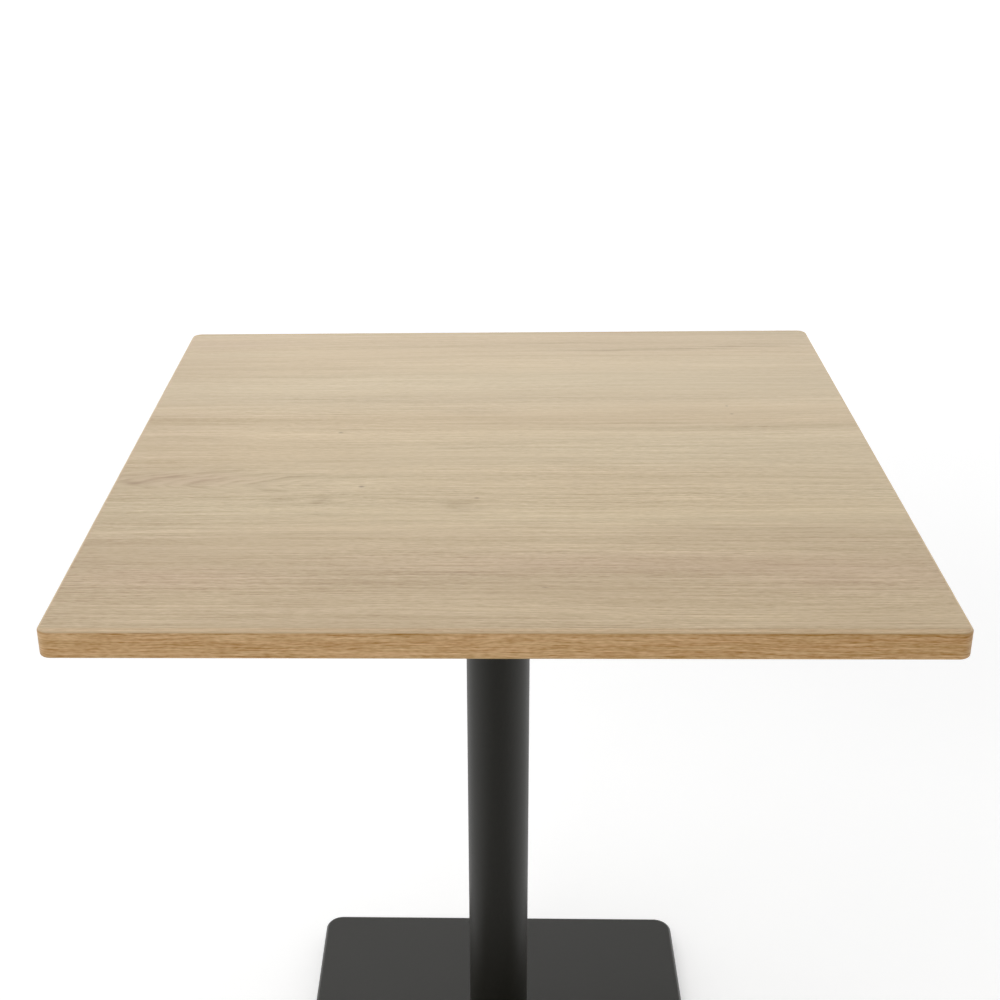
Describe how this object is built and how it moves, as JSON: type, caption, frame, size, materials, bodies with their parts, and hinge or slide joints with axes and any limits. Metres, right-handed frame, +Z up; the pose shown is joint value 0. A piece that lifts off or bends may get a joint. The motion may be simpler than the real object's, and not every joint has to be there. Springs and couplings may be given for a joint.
{
  "type": "bistro table",
  "caption": "Square café table: oak-look laminated top with a banded edge, on a round black steel column and a flat weighted square base with levelling feet.",
  "frame": {"origin": "on the floor, under the middle of the column", "axes": "+Z up; +X to the right, along the grain of the top; +Y towards the back"},
  "size_m": [0.7, 0.7, 0.75],
  "materials": {
    "oak_face": "matt oak-pattern laminate, straight grain along X",
    "oak_edge": "satin oak-pattern edge band",
    "core_board": "raw particle board",
    "backing_sheet": "matt balancing laminate",
    "black_powder_coat": "satin black powder coat on steel",
    "black_casting": "black paint on a rough casting",
    "zinc_steel": "bright zinc plate",
    "black_nylon": "moulded nylon",
    "black_rubber": "matt rubber"
  },
  "bodies": {
    "table": {"face_laminate": "oak_face", "top_core": "core_board", "backing_laminate": "backing_sheet", "edge_band": "oak_edge", "mounting_spider": "black_casting", "spider_screws": "zinc_steel", "column_tube": "black_powder_coat", "column_gasket": "black_rubber", "tie_rod": "zinc_steel", "upper_nut": "zinc_steel", "upper_spring_washer": "zinc_steel", "upper_washer": "zinc_steel", "lower_nut": "zinc_steel", "lower_spring_washer": "zinc_steel", "lower_washer": "zinc_steel", "base_cover": "black_powder_coat", "base_ballast": "black_casting"},
    "pad_front_left": {"foot_pad_front_left": "black_nylon"},
    "stud_front_left": {"foot_stud_front_left": "zinc_steel"},
    "pad_front_right": {"foot_pad_front_right": "black_nylon"},
    "stud_front_right": {"foot_stud_front_right": "zinc_steel"},
    "pad_back_left": {"foot_pad_back_left": "black_nylon"},
    "stud_back_left": {"foot_stud_back_left": "zinc_steel"},
    "pad_back_right": {"foot_pad_back_right": "black_nylon"},
    "stud_back_right": {"foot_stud_back_right": "zinc_steel"}
  },
  "joints": [
    {"name": "pad_slide_front_left", "type": "slide", "parent": "table", "child": "pad_front_left", "axis": [0, 0, -1], "range_m": [0, 0.006]},
    {"name": "stud_turn_front_left", "type": "hinge", "parent": "pad_front_left", "child": "stud_front_left", "pos_m": [-0.175, -0.175, 0], "axis": [0, 0, -1], "range_deg": [0, 1728]},
    {"name": "pad_slide_front_right", "type": "slide", "parent": "table", "child": "pad_front_right", "axis": [0, 0, -1], "range_m": [0, 0.006]},
    {"name": "stud_turn_front_right", "type": "hinge", "parent": "pad_front_right", "child": "stud_front_right", "pos_m": [0.175, -0.175, 0], "axis": [0, 0, -1], "range_deg": [0, 1728]},
    {"name": "pad_slide_back_left", "type": "slide", "parent": "table", "child": "pad_back_left", "axis": [0, 0, -1], "range_m": [0, 0.006]},
    {"name": "stud_turn_back_left", "type": "hinge", "parent": "pad_back_left", "child": "stud_back_left", "pos_m": [-0.175, 0.175, 0], "axis": [0, 0, -1], "range_deg": [0, 1728]},
    {"name": "pad_slide_back_right", "type": "slide", "parent": "table", "child": "pad_back_right", "axis": [0, 0, -1], "range_m": [0, 0.006]},
    {"name": "stud_turn_back_right", "type": "hinge", "parent": "pad_back_right", "child": "stud_back_right", "pos_m": [0.175, 0.175, 0], "axis": [0, 0, -1], "range_deg": [0, 1728]}
  ],
  "couplings": [
    {"joint": "pad_slide_front_left", "follows": "stud_turn_front_left", "m_per_rad": 0.00019894},
    {"joint": "pad_slide_front_right", "follows": "stud_turn_front_right", "m_per_rad": 0.00019894},
    {"joint": "pad_slide_back_left", "follows": "stud_turn_back_left", "m_per_rad": 0.00019894},
    {"joint": "pad_slide_back_right", "follows": "stud_turn_back_right", "m_per_rad": 0.00019894}
  ]
}
